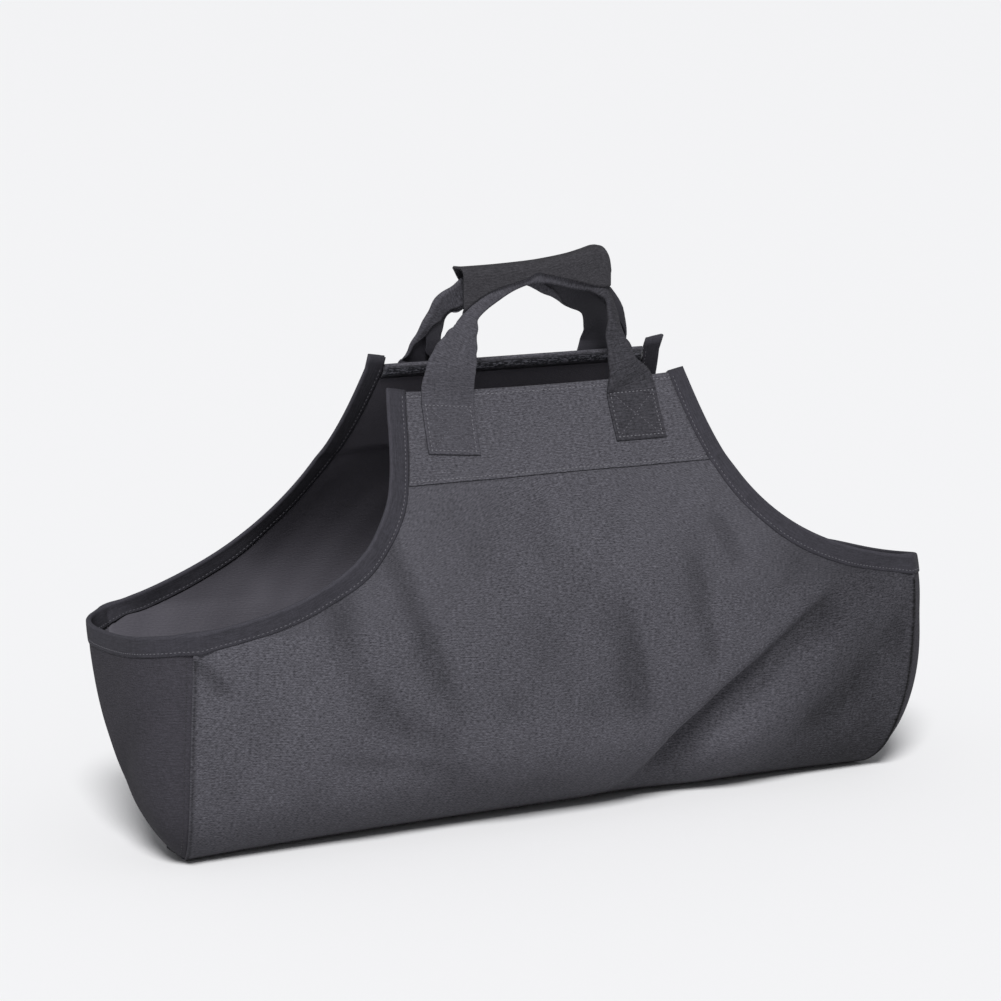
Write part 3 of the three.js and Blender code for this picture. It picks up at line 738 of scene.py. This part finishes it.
def spaced(line, step):
    """Places along a line of points, as fractions of its point numbers, about one step apart."""
    along = arc_lengths(line, 0)
    count = max(2, int(round(along[-1] / step)) + 1)
    return np.interp(np.linspace(0, along[-1], count), along, np.arange(len(line)))


def picked(values, places):
    """Values at fractional places of a list."""
    numbers = np.arange(len(values))
    return np.stack([np.interp(places, numbers, values[:, k]) for k in range(values.shape[1])], axis=1)


def run_mean(values, reach):
    """A running mean over some neighbours on each side."""
    padded = np.pad(values, ((reach, reach), (0, 0)), mode="edge")
    parts = [padded[k:k + len(values)] for k in range(2 * reach + 1)]
    return sum(parts) / len(parts)


def edge_spine(side):
    """The bound edge of one side: its points, outward normals and directions into the cloth."""
    column = SHEET_COLUMNS - 1 if side > 0 else 0
    beside = column - side * INTO_COLUMNS
    panel = panels[side]

    def chain(on_faces, on_panel):
        rim = on_panel[::side][RIM_SKIP:-RIM_SKIP]
        return np.concatenate(
            [on_faces[:row_starts[FRONT_WALL] + 1], rim, on_faces[row_starts[BACK_NECK]:]])

    points = chain(sheet.grid[:, column], panel.grid[0])
    normals = chain(sheet.normals[:, column], panel.normals[0])
    into = chain(sheet.grid[:, beside] - sheet.grid[:, column], panel.grid[INTO_ROWS] - panel.grid[0])
    places = spaced(points, TAPE_STEP)
    points = run_mean(picked(points, places), 2)
    normals = unit(run_mean(picked(normals, places), 3))
    ahead = unit(run_mean(np.gradient(points, axis=0), 2))
    across = unit(np.cross(ahead, normals))
    toward = unit(run_mean(unit(picked(into, places)), 3))
    sign = np.sign((across * toward).sum(1, keepdims=True))
    into = unit(run_mean(across * sign, 2))
    return points, normals, into, ahead


def tape_piece(side, word):
    """Edge binding of one side, folded over the sheet's edge and the end panel's rim."""
    points, normals, into, ahead = edge_spine(side)
    tree = surface_tree([sheet, panels[side]])
    turn = np.linalg.norm(np.gradient(normals, axis=0), axis=1, keepdims=True)
    room = CORNER_ROOM * smooth_step(run_mean(turn, 3) / 0.12)
    legs = np.zeros((len(points), len(TAPE_REACHES), 3))
    for i, start in enumerate(points):
        for k, reach in enumerate(TAPE_REACHES):
            legs[i, k] = tree.find_nearest(Vector(start + into[i] * reach))[0]
    ear = ahead[-1] * BACK_EAR + np.array([side * EAR_LEAN, 0, 0])
    layers = []
    for away in (TAPE_THICK, 0.0):
        lift = (SHEET_THICK / 2 + TAPE_GAP + room + away * TAPE_SWELLS)[..., None] * normals[:, None]
        radius = SHEET_THICK / 2 + TAPE_FOLD_GAP + room + away * TAPE_FOLD_SWELL
        crown = []
        for angle in TAPE_FOLD_ANGLES:
            crown.append(points + (normals * math.cos(angle) - into * math.sin(angle)) * radius)
        layer = np.concatenate([legs + lift, np.stack(crown, axis=1), (legs - lift)[:, ::-1]], axis=1)
        first = layer[[0]] - ahead[0] * FRONT_EAR
        last = layer[[-1]]
        layer = np.concatenate([first, layer, last + ear * 0.5, last + ear])
        layers.append(layer[:, ::side])
    outer, inner = layers
    lengths = arc_lengths(outer, 0)[:, [outer.shape[1] // 2]]
    widths = arc_lengths(outer, 1)
    places = np.stack([np.broadcast_to(lengths, widths.shape), widths], axis=-1)
    crease = np.zeros(outer.shape[1])
    crease[len(TAPE_REACHES):-len(TAPE_REACHES)] = 0.5
    piece = shell_piece(f"edge_tape_{word}", outer, inner, tape_cloth, places, crease)
    lift = SHEET_THICK / 2 + TAPE_THICK * 0.6 + 0.15 + room
    sewn = legs[:, TAPE_SEWN]
    return piece, [(sewn + sign * normals * lift, sign * normals) for sign in (1, -1)]


tapes = {}
tape_stitches = []
for side, word in ((-1, "left"), (1, "right")):
    tapes[side], lines = tape_piece(side, word)
    tape_stitches.extend(lines)


def tape_foot(stretch, t):
    """Where the inner edge of the binding lies on a row of a yoke, as a share of the half row."""
    pair = (FRONT_YOKE, FRONT_NECK) if stretch == FRONT_YOKE else (BACK_NECK, BACK_YOKE)
    fine = np.linspace(0, 1, 120)
    edge = np.concatenate([bezier(STRETCHES[index]["edge"], fine) for index in pair])
    tries = np.linspace(0.75, 1, 160)
    rows = sheet_point(stretch, np.full(tries.shape, t), tries)
    nearest = np.linalg.norm(rows[:, None] - edge[None], axis=-1).min(1)
    return tries[np.argmax(nearest < TAPE_WIDTH + 0.5)]


# Top bands: lift from the sheet's middle, places of the two stitch lines and of the rows as shares of the
# band's height, and rows of the hem as depths below the top edge with the pale flecks painted on them as
# glints.
YOKE_LIFT = SHEET_THICK / 2 + YOKE_GAP + YOKE_THICK / 2
BAND_STITCH = 0.036
TOP_STITCH = 0.955
BAND_ROWS = np.concatenate([[0, 0.008, 0.018, 0.028, 0.038, 0.05, 0.07, 0.1], np.linspace(0.13, 1, 20)])
HEM_DEPTHS = (1, 3, 5, 6.5, 8, HEM_DEPTH)
HEM_PAINTED_GLINTS = (0.5, 1, 1, 0.5, 0, 0)


def yoke_cloth(stretch):
    """Top band of one face: on the outside, over the top edge and down to a short hem inside."""
    low_t = 1.0 if stretch == FRONT_YOKE else 0.0
    top_t = 1.0 - low_t
    across = np.linspace(-1, 1, 91)
    rows = []
    for share in BAND_ROWS:
        t = low_t + (top_t - low_t) * share
        u = across * tape_foot(stretch, t)
        groove = 0.4 * math.exp(-(((share - BAND_STITCH) / 0.012) ** 2))
        rows.append(on_sheet(stretch, t, u, YOKE_LIFT - groove * YOKE_THICK / 2)[0])
    u = across * tape_foot(stretch, top_t)
    top, normals = on_sheet(stretch, top_t, u)
    under, _ = on_sheet(stretch, top_t + (low_t - top_t) * 0.15, u)
    up = unit(top - under)
    for angle in np.radians([20, 50, 90, 130, 160]):
        rows.append(top + (normals * math.cos(angle) + up * math.sin(angle)) * YOKE_LIFT)
    for depth in HEM_DEPTHS:
        bulge = 0.9 * math.sin(math.pi * depth / HEM_DEPTH)
        rows.append(top - normals * (YOKE_LIFT + bulge) - up * depth)
    grid = np.array(rows)
    return Cloth(grid[:, ::-1] if stretch == FRONT_YOKE else grid)


def yoke_piece(stretch, name):
    """The top band's mesh. Its hem has the lining's dark coat."""
    cloth = yoke_cloth(stretch)
    coat = np.zeros((len(cloth.grid), 1))
    hem_painted_glints = np.zeros((len(cloth.grid), 1))
    coat[-len(HEM_DEPTHS):] = 1
    # The hem's upper rows get pale flecks painted on as glints.
    hem_painted_glints[-len(HEM_PAINTED_GLINTS):, 0] = HEM_PAINTED_GLINTS
    return cloth_piece(name, cloth, YOKE_THICK, band_canvas, hem_painted_glints, (coat, 1.0))


front_yoke = yoke_piece(FRONT_YOKE, "front_top_band")
back_yoke = yoke_piece(BACK_YOKE, "back_top_band")


def smooth_path(points, per_span):
    """A smooth line through points, with some steps between each two, and its place in the list."""
    ends = np.concatenate([[2 * points[0] - points[1]], points, [2 * points[-1] - points[-2]]])
    line = []
    places = []
    for i in range(len(points) - 1):
        p = ends[i:i + 4]
        knots = np.concatenate([[0], np.cumsum(np.linalg.norm(np.diff(p, axis=0), axis=1) ** 0.5)])
        last = i == len(points) - 2
        shares = np.arange(per_span + last) / per_span
        t = (knots[1] + (knots[2] - knots[1]) * shares)[:, None]

        def mix(first, second, a, b):
            return (first * (b - t) + second * (t - a)) / (b - a)

        for spans in (((0, 1), (1, 2), (2, 3)), ((0, 2), (1, 3)), ((1, 2),)):
            p = [mix(p[k], p[k + 1], knots[a], knots[b]) for k, (a, b) in enumerate(spans)]
        line.append(p[0])
        places.append(i + shares)
    return np.concatenate(line), np.concatenate(places)


PATCH_EDGE = 3.0
PATCH_FAR = PATCH_LENGTH - PATCH_EDGE
PATCH_HALF = STRAP_WIDTH / 2 - PATCH_EDGE
PATCH_CORNERS = [
    (PATCH_EDGE, -PATCH_HALF), (PATCH_FAR, -PATCH_HALF), (PATCH_FAR, PATCH_HALF), (PATCH_EDGE, PATCH_HALF)]
PATCH_BOX = list(zip(PATCH_CORNERS, PATCH_CORNERS[1:] + PATCH_CORNERS[:1]))
PATCH_CROSS = list(zip(PATCH_CORNERS[:2], PATCH_CORNERS[2:]))


def sewn_dents(line, side):
    """How far the stitches of the two patches pull a strap's face in."""
    along = arc_lengths(line, 0)
    from_end = np.minimum(along, along[-1] - along)
    places = np.stack(np.broadcast_arrays(from_end[:, None], side[None, :]), axis=-1)
    depth = np.zeros(places.shape[:2])
    for start, end in PATCH_BOX + PATCH_CROSS:
        run = np.array(end) - np.array(start)
        share = np.clip(((places - start) @ run) / (run @ run), 0, 1)
        away = np.linalg.norm(places - start - share[..., None] * run, axis=-1)
        depth = np.maximum(depth, 0.6 * np.exp(-((away / 1.9) ** 2)))
    return depth


def strap_cloth_of(stretch, shares, path, outer_sign):
    """A strap: up from the left patch, along the grip and down to the right patch. Its sides turn in
    behind it, so that its own width never changes."""
    lift = SHEET_THICK / 2 + STRAP_ROOM + YOKE_THICK + PLY_GAP + STRAP_THICK / 2

    def patch(ends_x):
        for x, t in zip(np.linspace(*ends_x, len(shares)), shares):
            place, normal = on_sheet(stretch, t, x / bezier(STRETCHES[stretch]["edge"], t)[0], lift)
            yield place, 0, 0, normal, 1, 0, 0

    keys = (*patch(LEFT_PATCH_X), *path, *reversed([*patch(RIGHT_PATCH_X)]))
    at, inner, outer, facing, coat, flap, tuck = (np.array(column, float) for column in zip(*keys))
    line, places = smooth_path(at, STRAP_STEPS)
    soft = np.floor(places) + smooth_step(places - np.floor(places))
    face = picked(facing, soft)
    inner, outer, coat, flap, tuck = (
        picked(column[:, None], soft) for column in (inner, outer, coat, flap, tuck))
    ahead = unit(np.gradient(line, axis=0))
    face = unit(face - ahead * (face * ahead).sum(1, keepdims=True))
    across = np.cross(ahead, face)
    s = np.linspace(-STRAP_WIDTH / 2, STRAP_WIDTH / 2, STRAP_POINTS)
    positive, negative = (outer, inner) if outer_sign > 0 else (inner, outer)
    half = (STRAP_WIDTH - positive - negative) / 2
    middle = (negative - positive) / 2
    crossed = smooth_step((positive + negative - 2 * half - 6) / 8)
    near = 2 * (STRAP_THICK + STRAP_SLIP)
    far = near + 2.0 * crossed
    side = s - middle
    sideways = side
    behind = np.zeros_like(side)
    for sign, depth in ((-outer_sign, near), (outer_sign, far)):
        radius = depth / 2
        beyond = sign * side - half
        angle = np.clip(beyond / radius, 0, math.pi)
        turned = np.maximum(beyond - math.pi * radius, 0)
        # A flap that would pass the other side of the strap is turned back under itself.
        returned = np.maximum(turned - np.maximum(2 * half - 2.5, 3), 0)
        inward = turned - 2 * returned
        tucked = (STRAP_THICK + STRAP_SLIP) * smooth_step(returned / 2)
        here = beyond > 0
        sideways = np.where(here, sign * (half + radius * np.sin(angle) - inward), sideways)
        behind = np.where(here, radius * (1 - np.cos(angle)) - tucked, behind)
    flat = np.abs(side) <= half
    folded = smooth_step((positive + negative) / 8)
    shift = folded * (near + far) / 4
    from_middle = np.clip(side / np.maximum(half, 1), -1, 1)
    crown = 0.6 * folded * np.cos(from_middle * math.pi / 2)
    raised = shift - behind + crown * flat - sewn_dents(line, s)
    grid = line[:, None] + across[:, None] * sideways[..., None] + face[:, None] * raised[..., None]
    outer_coat = np.maximum(flap * ~flat, tuck * (side * outer_sign < -half))[:, ::-1]
    # The right leg turns away from the light and gets painted shade.
    return Cloth(grid[:, ::-1]), (outer_coat, coat), -STRAP_RIGHT_PAINTED_SHADE * ramp(line[:, [0]], 20, 60)


def strap_piece(name, stretch, shares, path, outer_sign):
    """The cloth and the mesh of a strap. Its inner side has the dark coat where that side shows."""
    cloth, coat_and_painted_shade, wear_and_painted_light = strap_cloth_of(stretch, shares, path, outer_sign)
    places = cloth_map(cloth.grid)
    places[..., 1] = places[:, [STRAP_POINTS // 2], 1]
    return cloth, cloth_piece(name, cloth, STRAP_THICK, strap_cloth, wear_and_painted_light, coat_and_painted_shade, places)


front_strap_cloth, front_strap = strap_piece(
    "front_carrying_strap", FRONT_YOKE, (0.72, 0.505, 0.305, 0.11), FRONT_STRAP_PATH, -1)
back_strap_cloth, back_strap = strap_piece(
    "back_carrying_strap", BACK_YOKE, (0.22, 0.44, 0.64, 0.83), BACK_STRAP_PATH, 1)


def wrap_cloth_grid():
    """Grip wrap: a cloth folded over both straps, open below, taller at its ends than in the middle."""
    line, _ = smooth_path(np.array(WRAP_SECTIONS, float), 6)
    rows = []
    for x, top, low, low_back in line:
        crown = top - WRAP_THICK / 2
        corner_back = min(WRAP_CORNER, max(crown - low_back - 0.5, 0.3))
        points = []
        for share in np.linspace(0, 1, 12)[:-1]:
            points.append((-WRAP_HALF, low * (1 - share) + (crown - WRAP_CORNER) * share))
        bend = np.radians(np.linspace(0, 90, 8))
        for side, corner, angles in ((-1, WRAP_CORNER, bend), (1, corner_back, bend[::-1])):
            for angle in angles:
                y = side * (WRAP_HALF - corner * (1 - math.cos(angle)))
                points.append((y, crown - corner * (1 - math.sin(angle))))
        for share in np.linspace(1, 0, 8)[1:]:
            points.append((WRAP_HALF, low_back * (1 - share) + (crown - corner_back) * share))
        rows.append([(x, WRAP_MIDDLE_Y + y, z) for y, z in points])
    return Cloth(np.array(rows))


wrap = wrap_cloth_grid()
# The wrap's thick yarns run along its columns.
grip_wrap = cloth_piece(
    "grip_wrap_cloth", wrap, WRAP_THICK, wrap_cloth, places=cloth_map(wrap.grid)[..., ::-1])


# Stitch lines, each a line of points with normals.
def patch_lines(runs):
    """Stitched runs on the two patches of each strap."""
    share = np.linspace(0, 1, 24)
    lines = []
    for cloth in (front_strap_cloth, back_strap_cloth):
        along = arc_lengths(cloth.grid, 0)[:, STRAP_POINTS // 2]
        for from_end in (False, True):
            for start, end in runs:
                lengths, sides = (a + (b - a) * share for a, b in zip(start, end))
                wanted = along[-1] - lengths if from_end else lengths
                rows = np.interp(wanted, along, np.arange(len(along)))
                columns = (sides / STRAP_WIDTH + 0.5) * (STRAP_POINTS - 1)
                lines.append(cloth.at(rows, columns, STRAP_THICK / 2 + THREAD_LIFT))
    return lines


def yoke_lines():
    """The line along the lower edge of each top band and the one below its top edge."""
    lines = []
    for stretch in (FRONT_YOKE, BACK_YOKE):
        for share in (BAND_STITCH, TOP_STITCH):
            t = 1 - share if stretch == FRONT_YOKE else share
            u = np.linspace(-1, 1, 120) * (tape_foot(stretch, t) - 0.01)
            lines.append(on_sheet(stretch, t, u, YOKE_LIFT + YOKE_THICK / 2))
    return lines


def seam_lines():
    """Top stitching on the end panels beside their front and back seams."""
    lines = []
    for panel in panels.values():
        rows = np.linspace(6, panel.grid.shape[0] - 4, 90)
        across = arc_lengths(panel.grid, 1)
        for from_far in (False, True):
            columns = []
            for lengths in across[rows.astype(int)]:
                wanted = lengths[-1] - SEAM_STITCH_AWAY if from_far else SEAM_STITCH_AWAY
                columns.append(np.interp(wanted, lengths, np.arange(len(lengths))))
            lines.append(panel.at(rows, columns, SHEET_THICK / 2 + THREAD_LIFT))
    return lines


def stitch_tree():
    """Geometry nodes that lay stitches along lines: pitch, length and width are inputs."""
    tree = bpy.data.node_groups.new("stitch_rows", "GeometryNodeTree")
    sockets = {}
    labels = ("Lines", "Pitch", "Length", "Width", "Thread")
    for label, kind in zip(labels, ("Geometry", "Float", "Float", "Float", "Material")):
        made = tree.interface.new_socket(label, in_out="INPUT", socket_type=f"NodeSocket{kind}")
        sockets[label] = made.identifier
    tree.interface.new_socket("Stitches", in_out="OUTPUT", socket_type="NodeSocketGeometry")

    def node(kind, settings=None, inputs=None, output=0):
        return add_node(tree, kind, settings, inputs).outputs[output]

    given = add_node(tree, "NodeGroupInput").outputs
    curve = node("GeometryNodeMeshToCurve", {}, {"Mesh": given["Lines"]})
    spots = node(
        "GeometryNodeResampleCurve", {"mode": "LENGTH"}, {"Curve": curve, "Length": given["Pitch"]})
    tangent = node("GeometryNodeInputTangent")
    outward = node("GeometryNodeInputNamedAttribute", {"data_type": "FLOAT_VECTOR"}, {"Name": "outward"})
    along = node("FunctionNodeAlignRotationToVector", {"axis": "X"}, {"Vector": tangent})
    turned = node(
        "FunctionNodeAlignRotationToVector", {"axis": "Z", "pivot_axis": "X"},
        {"Rotation": along, "Vector": outward})
    ball = node("GeometryNodeMeshUVSphere", {}, {"Segments": 8, "Rings": 5, "Radius": 0.5})
    uneven = node(
        "FunctionNodeRandomValue", {"data_type": "FLOAT"}, {"Min": 0.88, "Max": 1.1, "Seed": 7}, 1)
    long = node("ShaderNodeMath", {"operation": "MULTIPLY"}, {0: given["Length"], 1: uneven})
    high = node("ShaderNodeMath", {"operation": "MULTIPLY"}, {0: given["Width"], 1: 0.7})
    size = node("ShaderNodeCombineXYZ", {}, {"X": long, "Y": given["Width"], "Z": high})
    laid = node(
        "GeometryNodeInstanceOnPoints", {},
        {"Points": spots, "Instance": ball, "Rotation": turned, "Scale": size})
    real = node("GeometryNodeRealizeInstances", {}, {"Geometry": laid})
    smooth = node("GeometryNodeSetShadeSmooth", {}, {"Geometry": real})
    coloured = node("GeometryNodeSetMaterial", {}, {"Geometry": smooth, "Material": given["Thread"]})
    add_node(tree, "NodeGroupOutput", {}, {"Stitches": coloured})
    return tree, sockets


stitches, stitch_sockets = stitch_tree()


def stitch_piece(name, lines, finish, size=STITCH):
    """Stitches along some lines, as a plain mesh."""
    points = np.concatenate([line for line, _ in lines]) * MM
    outward = np.concatenate([normals for _, normals in lines])
    edges = []
    start = 0
    for line, _ in lines:
        edges.extend((start + k, start + k + 1) for k in range(len(line) - 1))
        start += len(line)
    guide_mesh = bpy.data.meshes.new(name + "_guide")
    guide_mesh.from_pydata(points.tolist(), edges, [])
    attribute = guide_mesh.attributes.new("outward", "FLOAT_VECTOR", "POINT")
    attribute.data.foreach_set("vector", outward.astype(np.float32).ravel())
    guide = linked(name + "_guide", guide_mesh)
    modifier = guide.modifiers.new("stitch_rows", "NODES")
    modifier.node_group = stitches
    for label, length in size.items():
        modifier[stitch_sockets[label]] = length * MM
    modifier[stitch_sockets["Thread"]] = finish
    graph = bpy.context.evaluated_depsgraph_get()
    mesh = bpy.data.meshes.new_from_object(guide.evaluated_get(graph))
    guide.modifiers.remove(modifier)
    bpy.data.objects.remove(guide)
    mesh.name = name
    return linked(name, mesh)


tape_stitching = stitch_piece("tape_stitching", tape_stitches, dark_thread)
band_stitching = stitch_piece("band_stitching", yoke_lines(), thread)
seam_stitching = stitch_piece("seam_stitching", seam_lines(), seam_thread)
patch_stitching = stitch_piece("patch_stitching", patch_lines(PATCH_BOX), thread, PATCH_STITCH)
cross_stitching = stitch_piece("cross_stitching", patch_lines(PATCH_CROSS), dark_thread, PATCH_STITCH)


# Every piece belongs to the one body. Most stand for a solid.
PIECES = [
    (body, "body_sheet", "canvas"),
    (panel_pieces[-1], "end_panel_left", "canvas"),
    (panel_pieces[1], "end_panel_right", "canvas"),
    (tapes[-1], "rim_tape_left", "binding"),
    (tapes[1], "rim_tape_right", "binding"),
    (front_yoke, "front_yoke", "canvas"),
    (back_yoke, "back_yoke", "canvas"),
    (front_strap, "front_strap", "webbing"),
    (back_strap, "back_strap", "webbing"),
    (grip_wrap, "grip_wrap", "grip"),
]
for piece, solid, slot in PIECES:
    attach(piece, "root")
    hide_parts(solid)
for piece in (tape_stitching, band_stitching, seam_stitching, patch_stitching, cross_stitching):
    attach(piece, "root")


# Studio, in metres.
FLOOR_REACH = 180.0
FLOOR_Z = -0.0004
CAMERA_PLACE = (-1.0750, -2.0135, 0.6478)
CAMERA_TARGET = (-0.0188, 0.0, 0.2314)


def studio():
    """Pale floor, soft light and the camera at the photograph's angle."""
    floor_mesh = bpy.data.meshes.new("floor")
    signs = ((-1, -1), (1, -1), (1, 1), (-1, 1))
    corners = [(x * FLOOR_REACH, y * FLOOR_REACH, FLOOR_Z) for x, y in signs]
    floor_mesh.from_pydata(corners, [], [(0, 1, 2, 3)])
    pale = Finish("pale_floor")
    pale.set("Base Color", (0.93, 0.93, 0.94, 1.0))
    pale.set("Roughness", 0.9)
    pale.set("Specular IOR Level", 0.1)
    floor_mesh.materials.append(pale.material)
    floor = linked("floor", floor_mesh)
    world = bpy.data.worlds.new("soft_room")
    world.use_nodes = True
    backing = world.node_tree.nodes["Background"]
    backing.inputs["Color"].default_value = (0.97, 0.98, 1.0, 1.0)
    backing.inputs["Strength"].default_value = 0.25
    bpy.context.scene.world = world
    light = bpy.data.lights.new("key_light", "SUN")
    light.energy = 3.15
    light.angle = math.radians(20)
    linked("key_light", light).rotation_euler = (math.radians(42), 0, math.radians(-28))
    camera = bpy.data.cameras.new("camera")
    camera.lens = 110.66
    camera.sensor_width = 36.0
    camera.clip_end = 800.0
    eye = linked("camera", camera)
    eye.location = CAMERA_PLACE
    eye.rotation_euler = (Vector(CAMERA_TARGET) - eye.location).to_track_quat("-Z", "Y").to_euler()
    bpy.context.scene.camera = eye
    bpy.context.scene.view_settings.view_transform = "Standard"


studio()
